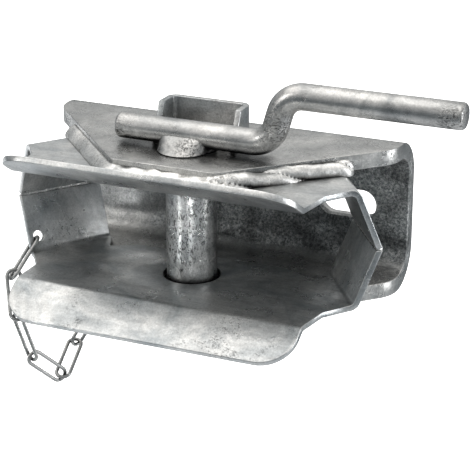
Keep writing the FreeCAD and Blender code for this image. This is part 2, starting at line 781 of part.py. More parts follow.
doc.recompute()
os.makedirs("parts", exist_ok=True)
pieces = [obj for obj in doc.Objects if obj.TypeId in ("PartDesign::Body", "Part::Feature")]
for obj in doc.Objects:
    for state in obj.State:
        if state in ("Invalid", "Error"):
            raise RuntimeError("%s is %s" % (obj.Label, state))
for obj in pieces:
    if obj.Shape.isNull() or not obj.Shape.isValid():
        raise RuntimeError("%s has no valid shape" % obj.Label)
    if len(obj.Shape.Solids) != 1:
        raise RuntimeError("%s has %d solids" % (obj.Label, len(obj.Shape.Solids)))
for obj in pieces:
    obj.Shape.exportStep("parts/%s.step" % obj.Label)
print("wrote", len(pieces), "pieces")
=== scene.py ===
import bmesh
import bpy
import math
import numpy as np
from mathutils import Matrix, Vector, noise


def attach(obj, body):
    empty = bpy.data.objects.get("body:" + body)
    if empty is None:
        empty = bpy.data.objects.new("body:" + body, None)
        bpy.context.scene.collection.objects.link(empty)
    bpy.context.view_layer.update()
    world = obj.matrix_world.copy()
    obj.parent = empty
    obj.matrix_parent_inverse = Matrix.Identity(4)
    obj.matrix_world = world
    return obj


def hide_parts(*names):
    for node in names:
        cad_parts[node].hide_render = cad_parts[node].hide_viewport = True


# Galvanised tow hitch. Everything is in metres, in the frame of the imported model.

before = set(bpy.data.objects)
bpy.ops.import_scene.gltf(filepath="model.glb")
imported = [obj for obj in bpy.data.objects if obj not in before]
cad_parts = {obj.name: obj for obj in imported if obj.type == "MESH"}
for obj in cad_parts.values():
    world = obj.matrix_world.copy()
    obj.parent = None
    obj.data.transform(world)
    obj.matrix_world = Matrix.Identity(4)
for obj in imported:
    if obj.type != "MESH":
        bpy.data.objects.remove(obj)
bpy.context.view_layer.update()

MM = 0.001
PIN_Y = -65 * MM
FLANGE_TOP = 38.5 * MM
PLATE = 8 * MM
JAW_PLATE = 3 * MM
FLOOR_LEVEL = -27.5 * MM
FLANGE_NOSE = 27 * MM
FLANGE_FRONT = PIN_Y - 32.5 * MM
FLANGE_SLOPE = Vector((65.5, 69.5, 0)).normalized()
BEAD_RUN = 72 * MM
HANDLE_RADIUS = 6.5 * MM
HANDLE_Y = PIN_Y - 4 * MM
HANDLE_Z = FLANGE_TOP + 8 * MM
HANDLE_RISE = 25 * MM
HANDLE_BEND = 12.5 * MM
HANDLE_LEFT = -36.5 * MM
HANDLE_RIGHT = 138 * MM
HANDLE_STEP_LOW = 43.5 * MM
HANDLE_STEP_HIGH = 51 * MM
PIN_RADIUS = 12.5 * MM
PIN_HEAD = FLANGE_TOP + 3 * MM
CLIP_Z = FLOOR_LEVEL - 18.2 * MM
CLIP_WIRE = 1.6 * MM
CLIP_LEG = 26 * MM
CLIP_EYE_OUT = 20 * MM
CLIP_EYE = 5.5 * MM
CLIP_WAIST = 5.1 * MM
CLIP_FIT = 0.44 * MM
CLIP_TAIL_OUT = 8.5 * MM
CLIP_TAIL_BACK = 12 * MM
CLIP_BEND = 2.5 * MM
LINK_WIRE = 0.95 * MM
LINK_ARC = 3.54 * MM
LINK_STRAIGHT = 9.4 * MM
PHOTO_SIZE = 470
PHOTO_FOCAL = 1780.5
SENSOR_WIDTH = 36


# Mesh helpers

def add_object(name, data):
    item = bpy.data.objects.new(name, data)
    bpy.context.scene.collection.objects.link(item)
    return item


def shade_smooth(mesh, angle):
    """Smooth shading that stays crisp across edges sharper than an angle in degrees."""
    mesh.shade_smooth()
    mesh.set_sharp_from_angle(angle=math.radians(angle))


MERGE_DISTANCE = 1e-6
FLAT_ANGLE = math.radians(0.6)
SHARP_ANGLE = math.radians(32)
ROUND_SEGMENTS = 3
RIM_GAP = (0.6, 1.2)
RIM_SKEW = 0.3


def is_cut_face(face, thickness):
    """Whether a face is the cut rim of a plate: two sharp edges face each other a thickness apart."""
    rims = []
    for edge in face.edges:
        if len(edge.link_faces) == 2 and edge.calc_face_angle(0) > SHARP_ANGLE:
            one, two = (vertex.co for vertex in edge.verts)
            rims.append(((one + two) / 2, (two - one).normalized()))
    nearest, furthest = (share * thickness for share in RIM_GAP)
    for index, (middle, along) in enumerate(rims):
        for other, _ in rims[index + 1:]:
            gap = other - middle
            if nearest < gap.length < furthest and abs(gap.dot(along)) < RIM_SKEW * gap.length:
                return True
    return False


def dressed_plate(node, edge_round, thickness):
    """A copy of a CAD node with its sharp edges rounded, as rolling, cutting and zinc leave them. The
    cut rims and the rounded edges beside them take the second material."""
    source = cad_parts[node].data
    grid = bmesh.new()
    grid.from_mesh(source)
    bmesh.ops.remove_doubles(grid, verts=grid.verts, dist=MERGE_DISTANCE)
    bmesh.ops.dissolve_limit(
        grid,
        angle_limit=FLAT_ANGLE,
        verts=grid.verts,
        edges=grid.edges,
        use_dissolve_boundaries=False,
    )
    edges = []
    for edge in grid.edges:
        if len(edge.link_faces) == 2 and edge.calc_face_angle(0) > SHARP_ANGLE:
            edges.append(edge)
    for face in grid.faces:
        face.material_index = int(is_cut_face(face, thickness))
    starts = np.array([edge.verts[0].co for edge in edges])
    runs = np.array([edge.verts[1].co - edge.verts[0].co for edge in edges])
    beside_rim = [any(face.material_index for face in edge.link_faces) for edge in edges]
    rounded = bmesh.ops.bevel(
        grid,
        geom=edges,
        offset=edge_round,
        offset_type="OFFSET",
        segments=ROUND_SEGMENTS,
        profile=0.5,
        affect="EDGES",
        clamp_overlap=True,
    )
    for face in rounded["faces"]:
        offset = np.array(face.calc_center_median()) - starts
        share = np.clip((offset * runs).sum(axis=1) / (runs * runs).sum(axis=1), 0, 1)
        nearest = np.argmin(np.linalg.norm(offset - runs * share[:, None], axis=1))
        face.material_index = int(beside_rim[nearest])
    mesh = bpy.data.meshes.new(node + "_dressed")
    grid.to_mesh(mesh)
    grid.free()
    mesh.materials.clear()
    shade_smooth(mesh, 40)
    return add_object(node + "_dressed", mesh)


def rounded_route(points, radii, step):
    """Points along runs and round their corners, spaced by about one step."""
    route = []
    start = points[0]
    for index in range(1, len(points) - 1):
        corner = points[index]
        back = (points[index - 1] - corner).normalized()
        onward = (points[index + 1] - corner).normalized()
        half = back.angle(onward) / 2
        radius = radii[index - 1]
        run = radius / math.tan(half)
        bisector = (back + onward).normalized()
        centre = corner + bisector * (radius / math.sin(half))
        first = corner + back * run
        last = corner + onward * run
        count = max(1, round((first - start).length / step))
        route += [start.lerp(first, k / count) for k in range(count)]
        turn = math.pi - 2 * half
        count = max(4, round(turn * radius / step))
        from_centre = first - centre
        side = (last - centre) - from_centre * math.cos(turn)
        side = side.normalized() * radius
        for k in range(count):
            angle = turn * k / count
            route.append(centre + from_centre * math.cos(angle) + side * math.sin(angle))
        start = last
    count = max(1, round((points[-1] - start).length / step))
    route += [start.lerp(points[-1], k / count) for k in range(count + 1)]
    return route


def sweep(name, route, radius_at, sides=24, closed=False, up=Vector((0, 0, 1))):
    """A tube along a route. radius_at(length, angle) gives its radius; angle 0 points along up."""
    count = len(route)
    grid = bmesh.new()
    rings = []
    length = 0.0
    for index, point in enumerate(route):
        before = route[index - 1] if index or closed else route[index]
        after = route[(index + 1) % count] if index < count - 1 or closed else route[index]
        tangent = (after - before).normalized()
        across = tangent.cross(up)
        if across.length < 1e-4:
            across = tangent.cross(Vector((1, 0, 0)))
        across.normalize()
        top = across.cross(tangent)
        if index:
            length += (point - route[index - 1]).length
        ring = []
        for k in range(sides):
            angle = 2 * math.pi * k / sides
            reach = radius_at(length, angle)
            offset = top * math.cos(angle) + across * math.sin(angle)
            ring.append(grid.verts.new(point + offset * reach))
        rings.append(ring)
    pairs = list(zip(rings, rings[1:]))
    if closed:
        pairs.append((rings[-1], rings[0]))
    for one, two in pairs:
        for k in range(sides):
            after = (k + 1) % sides
            grid.faces.new((one[k], one[after], two[after], two[k]))
    if not closed:
        grid.faces.new(rings[0][::-1])
        grid.faces.new(rings[-1])
    bmesh.ops.recalc_face_normals(grid, faces=grid.faces)
    mesh = bpy.data.meshes.new(name)
    grid.to_mesh(mesh)
    grid.free()
    shade_smooth(mesh, 50)
    return add_object(name, mesh)


def stand_for(item, node, body, slot, *materials):
    """Show a piece in place of a CAD node."""
    for material in materials:
        item.data.materials.append(material)
    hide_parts(node)
    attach(item, body)


# Materials. The first constants are scales of noise, in cycles per metre.

PATCHES = 34.0
CLOUDS = 150.0
GRAIN = 1000.0
STREAKS = 60.0
STAINS = 52.0
PITS = 700.0
SHEEN = 80.0
SKIN = 240.0
DENTS = 60.0
COARSE_GRAIN = 620.0
COARSE_PATCHES = 45.0

PIT_COLOUR = 0.035
COARSE_ROUGHNESS = 0.6
# Painted shade in gaps and beside welds: its reach, its darkest factor and its samples.
PAINTED_SHADE_REACH = 8 * MM
PAINTED_SHADE_DARKEST = 0.05
PAINTED_SHADE_SAMPLES = 8
INSIDE_HEIGHT = 29.5 * MM


class Graph:
    """A small helper that adds nodes and links to one material."""

    def __init__(self, name):
        self.material = bpy.data.materials.new(name)
        self.material.use_nodes = True
        self.nodes = self.material.node_tree.nodes
        self.links = self.material.node_tree.links
        self.shader = self.nodes["Principled BSDF"]
        self.place = self.nodes.new("ShaderNodeTexCoord").outputs["Object"]

    def link(self, source, target):
        self.links.new(source, target)

    def feed(self, target, source, constant):
        """Link a socket into another, or set a number."""
        if isinstance(source, (int, float)):
            target.default_value = constant
        else:
            self.link(source, target)

    def noise(self, scale, detail=4.0, roughness=0.55, distortion=0.0, stretch=None):
        node = self.nodes.new("ShaderNodeTexNoise")
        node.inputs["Scale"].default_value = scale
        node.inputs["Detail"].default_value = detail
        node.inputs["Roughness"].default_value = roughness
        node.inputs["Distortion"].default_value = distortion
        place = self.place
        if stretch is not None:
            mapping = self.nodes.new("ShaderNodeMapping")
            mapping.inputs["Scale"].default_value = stretch
            self.link(self.place, mapping.inputs["Vector"])
            place = mapping.outputs["Vector"]
        self.link(place, node.inputs["Vector"])
        return node.outputs["Fac"]

    def ramp(self, source, stops):
        node = self.nodes.new("ShaderNodeValToRGB")
        elements = node.color_ramp.elements
        while len(elements) < len(stops):
            elements.new(0.5)
        for element, (position, value) in zip(elements, stops):
            element.position = position
            element.color = (value, value, value, 1) if isinstance(value, float) else (*value, 1)
        self.link(source, node.inputs["Fac"])
        return node.outputs["Color"]

    def mix(self, kind, factor, first, second):
        node = self.nodes.new("ShaderNodeMix")
        node.data_type = "RGBA"
        node.blend_type = kind
        self.feed(node.inputs[0], factor, factor)
        self.feed(node.inputs[6], first, (first, first, first, 1))
        self.feed(node.inputs[7], second, (second, second, second, 1))
        return node.outputs[2]

    def value(self, kind, first, second):
        node = self.nodes.new("ShaderNodeMath")
        node.operation = kind
        self.feed(node.inputs[0], first, first)
        self.feed(node.inputs[1], second, second)
        return node.outputs[0]

    def closeness(self, centre, reach):
        """One at a point of the object, falling to nothing at some reach from it."""
        node = self.nodes.new("ShaderNodeVectorMath")
        node.operation = "DISTANCE"
        self.link(self.place, node.inputs[0])
        node.inputs[1].default_value = centre
        return self.ramp(self.value("DIVIDE", node.outputs["Value"], reach), [(0.35, 1.0), (1.0, 0.0)])

    def painted_crevice_shade(self):
        """Painted shade: darker where other metal stands close by, in gaps and beside welds."""
        node = self.nodes.new("ShaderNodeAmbientOcclusion")
        node.samples = PAINTED_SHADE_SAMPLES
        node.inputs["Distance"].default_value = PAINTED_SHADE_REACH
        return self.ramp(node.outputs["AO"], [(0.35, PAINTED_SHADE_DARKEST), (0.75, 1.0)])

    def coarse_grain_and_painted_inside_shade(self):
        """Large dark grain with painted shade, and where it shows: on the web's inner face, thinning out to
        the left as a painted reflection.
        """
        split = self.nodes.new("ShaderNodeSeparateXYZ")
        self.link(self.place, split.inputs["Vector"])
        level = self.value("ABSOLUTE", split.outputs["Z"], 0.0)
        painted_shade_mask = self.ramp(self.value("DIVIDE", level, INSIDE_HEIGHT), [(0.9, 1.0), (1.0, 0.0)])
        in_front = self.value("LESS_THAN", split.outputs["Y"], -PLATE / 2)
        painted_shade_mask = self.mix("MULTIPLY", 1.0, painted_shade_mask, in_front)
        # Painted reflection: the painted shade thins out to the left, so the web's inner face is lighter
        # towards its left end.
        painted_reflection_position = self.value("ADD", self.value("MULTIPLY", split.outputs["X"], 12.0), 0.7)
        painted_shade_mask = self.mix("MULTIPLY", 1.0, painted_shade_mask, self.ramp(painted_reflection_position, [(0.05, 0.45), (0.5, 1.0)]))
        coarse_grain_and_painted_shade = self.noise(COARSE_GRAIN, 6.0, 0.85, 0.4)
        # Grain with painted shade: mostly darker than the zinc, with cool darks.
        shade = self.ramp(coarse_grain_and_painted_shade, [(0.38, (0.13, 0.14, 0.145)), (0.5, (0.5, 0.525, 0.54)), (0.62, 1.15)])
        patches = self.noise(COARSE_PATCHES, 4.0, 0.6, 0.6)
        patches = self.ramp(patches, [(0.38, 0.55), (0.5, 1.0), (0.64, 1.7)])
        shade = self.mix("MULTIPLY", 1.0, shade, patches)
        return shade, painted_shade_mask

    def bump(self, height, strength, distance, normal=None):
        node = self.nodes.new("ShaderNodeBump")
        node.inputs["Strength"].default_value = strength
        node.inputs["Distance"].default_value = distance
        self.link(height, node.inputs["Height"])
        if normal is not None:
            self.link(normal, node.inputs["Normal"])
        return node.outputs["Normal"]


def galvanised(name, dark, light, rough=(0.26, 0.46), pits=0.6, pit_level=0.53, spread=0.45, grain=0.5,
               mottle=0.6, bump=0.4, metallic=0.88, near=(), streaks=0.0, stretch=None, coarse_grain_and_painted_shade=False):
    """Hot-dip zinc: cloudy patches, fine grain, clustered dark pits and a slightly rough skin. Pits
    and stains gather round each place in near, a centre and a reach. When asked for, the channel's inner
    face takes large grain and painted shade. Painted shade darkens every surface in gaps and beside welds."""
    graph = Graph(name)
    patches = graph.noise(PATCHES, 6.0, 0.62, 0.9)
    middle = tuple((a + b) / 2 for a, b in zip(dark, light))
    colour = graph.ramp(patches, [(0.34, dark), (0.5, middle), (0.66, light)])
    clouds = graph.ramp(graph.noise(CLOUDS, 5.0, 0.65, 0.5), [(0.3, 0.62), (0.52, 1.0), (0.72, 1.3)])
    colour = graph.mix("MULTIPLY", mottle, colour, clouds)
    fine = graph.noise(GRAIN, 3.0, 0.75)
    speckle = graph.ramp(fine, [(0.34, 0.45), (0.5, 1.0), (0.66, 1.5)])
    colour = graph.mix("MULTIPLY", grain, colour, speckle)
    if streaks:
        lines = graph.noise(STREAKS, 6.0, 0.7, 0.3, (1.0, 7.0, 1.0))
        lines = graph.ramp(lines, [(0.38, 0.55), (0.6, 1.12)])
        colour = graph.mix("MULTIPLY", streaks, colour, lines)
    where = graph.ramp(graph.noise(STAINS, 4.0, 0.6, 0.5), [(spread, 0.0), (spread + 0.15, 1.0)])
    for place in near:
        where = graph.mix("LIGHTEN", 1.0, where, graph.closeness(*place))
    spots = graph.noise(PITS, 5.0, 0.72, 1.2, stretch)
    spots = graph.ramp(spots, [(pit_level, 0.0), (pit_level + 0.07, 1.0)])
    pitted = graph.mix("MULTIPLY", 1.0, where, spots)
    colour = graph.mix("MIX", graph.value("MULTIPLY", pitted, pits), colour, PIT_COLOUR)
    low, high = rough
    roughness = graph.ramp(graph.noise(SHEEN, 5.0, 0.6), [(0.3, high), (0.7, low)])
    if coarse_grain_and_painted_shade:
        # Large grain and painted shade on the channel's inner face.
        shade, painted_shade_mask = graph.coarse_grain_and_painted_inside_shade()
        colour = graph.mix("MULTIPLY", painted_shade_mask, colour, shade)
        roughness = graph.mix("MIX", painted_shade_mask, roughness, COARSE_ROUGHNESS)
    # Painted shade: every surface is darkened in gaps, under the bar and beside welds.
    colour = graph.mix("MULTIPLY", 1.0, colour, graph.painted_crevice_shade())
    graph.link(colour, graph.shader.inputs["Base Color"])
    graph.link(roughness, graph.shader.inputs["Roughness"])
    graph.shader.inputs["Metallic"].default_value = metallic
    skin = graph.noise(SKIN, 6.0, 0.68, 0.4)
    height = graph.mix("SUBTRACT", 0.8, skin, pitted)
    broad = graph.bump(graph.noise(DENTS, 3.0, 0.5), 0.35, 0.6 * MM)
    graph.link(graph.bump(height, bump, 0.3 * MM, broad), graph.shader.inputs["Normal"])
    return graph.material


RISER = ((48 * MM, HANDLE_Y, HANDLE_Z + 10 * MM), 15 * MM)
PIN_FACE = ((-3 * MM, PIN_Y - PIN_RADIUS, -5 * MM), 26 * MM)
HANDLE_LEFT_END = ((HANDLE_LEFT, HANDLE_Y - 4 * MM, HANDLE_Z - 5 * MM), 13 * MM)
HANDLE_RIGHT_END = ((HANDLE_RIGHT - 2 * MM, HANDLE_Y - 3 * MM, HANDLE_Z + HANDLE_RISE - 5 * MM), 15 * MM)
HEAD_WELD_RIGHT = ((7 * MM, HANDLE_Y - 12 * MM, HANDLE_Z - 3 * MM), 11 * MM)
LEFT_WING = ((-77 * MM, -53 * MM, -19 * MM), 10 * MM)
channel_zinc = galvanised(
    "channel_zinc",
    (0.32, 0.325, 0.325),
    (0.50, 0.50, 0.49),
    pits=0.4,
    grain=0.35,
    mottle=0.4,
    rough=(0.2, 0.36),
    coarse_grain_and_painted_shade=True,
)
jaw_zinc = galvanised(
    "jaw_zinc",
    (0.36, 0.385, 0.40),
    (0.72, 0.72, 0.71),
    pits=0.8,
    pit_level=0.54,
    spread=0.55,
    grain=0.28,
    mottle=0.3,
    streaks=0.25,
    rough=(0.24, 0.4),
    near=(LEFT_WING,),
)
rim_zinc = galvanised(
    "rim_zinc",
    (0.58, 0.585, 0.58),
    (0.94, 0.94, 0.92),
    pits=0.9,
    pit_level=0.47,
    spread=0.3,
    grain=0.6,
    mottle=0.9,
    metallic=0.25,
    bump=0.6,
    rough=(0.34, 0.55),
)
weld_zinc = galvanised(
    "weld_zinc",
    (0.52, 0.53, 0.53),
    (0.92, 0.91, 0.89),
    pits=0.6,
    pit_level=0.51,
    grain=0.4,
    mottle=0.4,
    rough=(0.28, 0.46),
)
head_zinc = galvanised(
    "head_zinc",
    (0.24, 0.25, 0.255),
    (0.56, 0.555, 0.545),
    near=(HEAD_WELD_RIGHT,),
    pits=0.85,
    pit_level=0.5,
    spread=0.6,
    grain=0.4,
    mottle=0.7,
    rough=(0.26, 0.42),
)
pin_zinc = galvanised(
    "pin_zinc",
    (0.36, 0.38, 0.385),
    (0.78, 0.775, 0.76),
    near=(PIN_FACE,),
    pits=0.95,
    pit_level=0.51,
    grain=0.4,
    mottle=0.9,
    rough=(0.22, 0.4),
    stretch=(1.0, 1.0, 0.55),
)
handle_zinc = galvanised(
    "handle_zinc",
    (0.27, 0.28, 0.285),
    (0.60, 0.595, 0.585),
    near=(RISER, HANDLE_LEFT_END, HANDLE_RIGHT_END),
    pits=0.9,
    pit_level=0.49,
    spread=0.6,
    grain=0.3,
    mottle=0.45,
    rough=(0.22, 0.38),
    stretch=(0.5, 1.0, 1.0),
)
stop_zinc = galvanised("stop_zinc", (0.34, 0.36, 0.37), (0.54, 0.54, 0.535), pits=0.45, mottle=0.6)
clip_wire = galvanised("clip_wire", (0.45, 0.45, 0.46), (0.7, 0.7, 0.7), pits=0.2, rough=(0.16, 0.3))
chain_wire = galvanised(
    "chain_wire",
    (0.28, 0.29, 0.29),
    (0.48, 0.475, 0.465),
    pits=0.4,
    grain=0.2,
    mottle=0.3,
    bump=0.15,
    metallic=0.75,
    rough=(0.24, 0.36),
)


# Plates

PLATES = [
    ("mounting_channel", "hitch_body", "channel_zinc", channel_zinc, 0.9 * MM, PLATE),
    ("upper_jaw_shell", "hitch_body", "jaw_zinc", jaw_zinc, 0.6 * MM, JAW_PLATE),
    ("lower_jaw_shell", "hitch_body", "jaw_zinc", jaw_zinc, 0.6 * MM, JAW_PLATE),
    ("handle_stop", "hitch_body", "stop_zinc", stop_zinc, 0.5 * MM, JAW_PLATE),
    ("hitch_pin", "pin_and_handle", "pin_zinc", pin_zinc, 0.4 * MM, JAW_PLATE),
]
for node, body, slot, material, edge_round, thickness in PLATES:
    piece = dressed_plate(node, edge_round, thickness)
    stand_for(piece, node, body, slot, material, rim_zinc)


# Weld beads

def rope_radius(base, seed):
    """Radius of a smooth, flowing bead: slow swellings and shallow ridges that wind along it."""
    swell = 0.12
    twist = 0.07

    def radius_at(length, angle):
        slow = noise.noise(Vector((length * 55, seed, 0.3 * math.sin(angle))))
        drift = 2.5 * noise.noise(Vector((length * 40, seed + 5, 0)))
        ridge = math.sin(2 * angle + length * 210 + drift)
        crease = -abs(math.sin(angle + length * 105 + drift)) ** 12
        return base * (1 + swell * slow + twist * ridge + 0.5 * twist * crease)
    return radius_at


def tapered(radius_at, total, taper):
    """Round off both ends of a bead."""
    def shaped(length, angle):
        near = min(length, total - length)
        share = min(1.0, max(0.02, near / taper))
        return radius_at(length, angle) * math.sqrt(1 - (1 - share) ** 2)
    return shaped


def route_length(route):
    return sum((b - a).length for a, b in zip(route, route[1:]))


def flange_route(level):
    run = FLANGE_SLOPE * BEAD_RUN
    corner_radius = 6 * MM
    points = [
        Vector((-FLANGE_NOSE - run.x, FLANGE_FRONT + run.y, level)),
        Vector((-FLANGE_NOSE, FLANGE_FRONT, level)),
        Vector((FLANGE_NOSE, FLANGE_FRONT, level)),
        Vector((FLANGE_NOSE + run.x, FLANGE_FRONT + run.y, level)),
    ]
    return rounded_route(points, [corner_radius] * 2, 0.5 * MM)


def flange_bead_radius(seed, sign, total):
    """A flat smooth fillet on the left slope, a rounded lumpy bead in front, and a rope of three strands
    at the right."""
    leg = 5.4 * MM
    flatness = 1.35
    base = 5.2 * MM
    left_end = BEAD_RUN - 2 * MM
    right_start = total - BEAD_RUN - 6 * MM
    fade = 8 * MM

    def radius_at(length, angle):
        rise = sign * math.cos(angle)
        out = abs(math.sin(angle))
        flat = leg / (rise ** flatness + out ** flatness) ** (1 / flatness) if rise > 0 else leg
        lump = noise.noise(Vector((length * 130, seed, 1.5 * math.sin(angle))))
        drip = noise.noise(Vector((length * 330, seed + 9, 2.5 * math.cos(angle))))
        round_part = base * (1 + 0.16 * lump + 0.08 * drip)
        drift = 1.2 * noise.noise(Vector((length * 45, seed + 5, 0)))
        strand = abs(math.sin(1.5 * (angle - sign * length * 70) + drift))
        ropy = base * (0.6 + 0.5 * strand ** 0.4 + 0.07 * lump + 0.04 * drip)
        to_round = min(1.0, max(0.0, (length - left_end) / fade))
        to_ropy = min(1.0, max(0.0, (length - right_start) / fade))
        mixed = flat + (round_part - flat) * to_round
        mixed += (ropy * (1 + 0.16 * max(rise, 0)) - mixed) * to_ropy
        return mixed * (1 + 0.03 * lump)
    return radius_at


PLATE_FACE = FLANGE_TOP - PLATE
BEAD_FOOT = PLATE_FACE - 1 * MM
for sign, node in ((1, "top_flange_weld"), (-1, "bottom_flange_weld")):
    level = sign * (PLATE_FACE + 0.3 * MM)
    route = flange_route(level)
    total = route_length(route)
    radius_at = tapered(flange_bead_radius(3.0 * sign, sign, total), total, 6 * MM)
    piece = sweep(node + "_bead", route, radius_at, sides=36)
    for vertex in piece.data.vertices:
        if sign * vertex.co.z < BEAD_FOOT:
            vertex.co.z = sign * BEAD_FOOT
    stand_for(piece, node, "hitch_body", "weld_zinc", weld_zinc)


# Jaw seam welds, along the outside of each wing

SEAM_FRONT = Vector((98.8, -63.2, 0)) * MM
SEAM_REAR = Vector((73.4, -27.0, 0)) * MM
SEAM_OUTWARD = Vector((0.819, 0.574, 0))
SEAM_INSET = 1.75 * MM
SEAM_RADIUS = 2 * MM
SEAM_STEPS = 110


def seam_radius(seed):
    """A low rippled bead: its inner side stays within the plate."""
    def radius_at(length, angle):
        ripple = 0.08 * math.sin(length * 1400 + 2.5 * math.sin(angle))
        lump = 0.1 * noise.noise(Vector((length * 210, seed, math.cos(angle))))
        inner = max(0.0, math.sin(angle))
        return SEAM_RADIUS * (1 + ripple + lump) * (1 - 0.4 * inner)
    return radius_at


for side, node in ((-1, "jaw_seam_weld_left"), (1, "jaw_seam_weld_right")):
    mirror = Vector((side, 1, 1))
    ends = [(place - SEAM_OUTWARD * SEAM_INSET) * mirror for place in (SEAM_FRONT, SEAM_REAR)]
    if side > 0:
        ends.reverse()
    route = [ends[0].lerp(ends[1], k / SEAM_STEPS) for k in range(SEAM_STEPS + 1)]
    radius_at = tapered(seam_radius(side * 2.0), route_length(route), 1.5 * MM)
    stand_for(sweep(node + "_bead", route, radius_at), node, "hitch_body", "weld_zinc", weld_zinc)


# Handle and its welds

handle_points = [
    Vector((HANDLE_LEFT, HANDLE_Y, HANDLE_Z)),
    Vector((HANDLE_STEP_LOW, HANDLE_Y, HANDLE_Z)),
    Vector((HANDLE_STEP_HIGH, HANDLE_Y, HANDLE_Z + HANDLE_RISE)),
    Vector((HANDLE_RIGHT, HANDLE_Y, HANDLE_Z + HANDLE_RISE)),
]
handle_route = rounded_route(handle_points, [HANDLE_BEND] * 2, 0.7 * MM)
handle_length = route_length(handle_route)


def handle_radius(length, angle):
    """Cropped bar: a small chamfer at each end and a faintly uneven surface."""
    near = min(length, handle_length - length)
    chamfer = max(0.0, 1.0 * MM - near)
    slack = 0.08 * MM
    uneven = 0.06 * MM * noise.noise(Vector((length * 60, math.cos(angle), math.sin(angle))))
    return HANDLE_RADIUS - slack - chamfer + uneven


handle = sweep("pin_handle_bar", handle_route, handle_radius, sides=40)
stand_for(handle, "pin_handle", "pin_and_handle", "handle_zinc", handle_zinc)


def head_weld():
    """The weld in front of the bar: a lens of metal that hangs over the flange and flows up onto the bar."""
    across_count = 56
    up_count = 22
    middle_x = -0.6 * MM
    middle_y = HANDLE_Y - 2.9 * MM
    lens_radius = 12.6 * MM
    base_z = FLANGE_TOP + 0.6 * MM
    rise = 7.2 * MM
    back_y = HANDLE_Y - 1 * MM
    grid = bmesh.new()
    front = []
    back = []
    for i in range(across_count + 1):
        share = math.sin((2 * i / across_count - 1) * math.pi / 2)
        x = middle_x + lens_radius * share
        rim_y = middle_y - lens_radius * math.sqrt(max(0.0, 1 - share ** 2))
        top_z = base_z + rise * math.sqrt(max(0.0, 1 - abs(share) ** 5))
        front_row = []
        back_row = []
        for k in range(up_count + 1):
            v = k / up_count
            z = base_z + (top_z - base_z) * v
            below = min(HANDLE_RADIUS, abs(HANDLE_Z - z))
            bar_y = HANDLE_Y - math.sqrt(HANDLE_RADIUS ** 2 - below ** 2)
            foot_y = min(rim_y, bar_y)
            y = foot_y + (bar_y - foot_y) * v ** 1.15
            belly = math.sin(math.pi * v)
            lumps = 0.7 * MM * noise.noise(Vector((x * 190, z * 240, 1.7)))
            lumps += 0.25 * MM * noise.noise(Vector((x * 620, z * 620, 4.1)))
            front_row.append(grid.verts.new((x, y - (0.3 * MM * (1 - share ** 4) + lumps) * belly, z)))
            back_row.append(grid.verts.new((x, back_y, z)))
        front.append(front_row)
        back.append(back_row)
    for i in range(across_count):
        for k in range(up_count):
            grid.faces.new((front[i][k], front[i + 1][k], front[i + 1][k + 1], front[i][k + 1]))
            grid.faces.new((back[i][k], back[i][k + 1], back[i + 1][k + 1], back[i + 1][k]))
        for k in (0, up_count):
            grid.faces.new((front[i][k], back[i][k], back[i + 1][k], front[i + 1][k]))
    for i in (0, across_count):
        for k in range(up_count):
            grid.faces.new((front[i][k], front[i][k + 1], back[i][k + 1], back[i][k]))
    bmesh.ops.remove_doubles(grid, verts=grid.verts, dist=0.01 * MM)
    bmesh.ops.recalc_face_normals(grid, faces=grid.faces)
    mesh = bpy.data.meshes.new("handle_weld_lens")
    grid.to_mesh(mesh)
    grid.free()
    shade_smooth(mesh, 60)
    return add_object("handle_weld_lens", mesh)


stand_for(head_weld(), "handle_weld_front", "pin_and_handle", "weld_zinc", head_zinc)

back_y = HANDLE_Y + HANDLE_RADIUS - 0.4 * MM
back_reach = 10.5 * MM
back_route = rounded_route(
    [
        Vector((-back_reach, back_y + 0.4 * MM, PIN_HEAD)),
        Vector((0, back_y + 0.8 * MM, PIN_HEAD - 0.2 * MM)),
        Vector((back_reach, back_y + 0.4 * MM, PIN_HEAD)),
    ],
    [20 * MM],
    0.5 * MM,
)
back_radius = 2.6 * MM
back_radius_at = tapered(rope_radius(back_radius, 8.0), route_length(back_route), back_radius)
back_weld = sweep("handle_weld_back_bead", back_route, back_radius_at, sides=28)
stand_for(back_weld, "handle_weld_back", "pin_and_handle", "weld_zinc", weld_zinc)


# Retaining clip

clip_hug = PIN_RADIUS + CLIP_WIRE + CLIP_FIT
clip_peak = (clip_hug ** 2 + CLIP_WAIST ** 2) / (2 * CLIP_WAIST)
clip_places = [
    (CLIP_LEG, 0.0),
    (-CLIP_EYE_OUT - CLIP_EYE, 0.0),
    (-CLIP_EYE_OUT - CLIP_EYE, 2 * CLIP_EYE),
    (-clip_hug - 2 * CLIP_WIRE, 2 * CLIP_EYE),
    (-clip_hug, CLIP_WAIST),
    (0.0, clip_peak),
    (clip_hug, CLIP_WAIST),
    (clip_hug + CLIP_TAIL_OUT, CLIP_TAIL_BACK),
]
eye_bend = 0.999 * CLIP_EYE
clip_radii = [eye_bend, eye_bend, CLIP_BEND, CLIP_BEND, clip_hug, CLIP_BEND]
clip_route = rounded_route([Vector((x, PIN_Y + y, CLIP_Z)) for x, y in clip_places], clip_radii, 0.5 * MM)
clip_length = route_length(clip_route)


def clip_radius(length, angle):
    """Spring wire, rounded at its two cut ends."""
    near = min(length, clip_length - length)
    share = min(1.0, max(0.1, near / (0.6 * MM)))
    return (CLIP_WIRE - 0.02 * MM) * (0.6 + 0.4 * math.sqrt(1 - (1 - share) ** 2))


clip = sweep("retaining_clip_wire", clip_route, clip_radius, sides=20)
stand_for(clip, "retaining_clip", "pin_and_handle", "clip_wire", clip_wire)


# Chain links

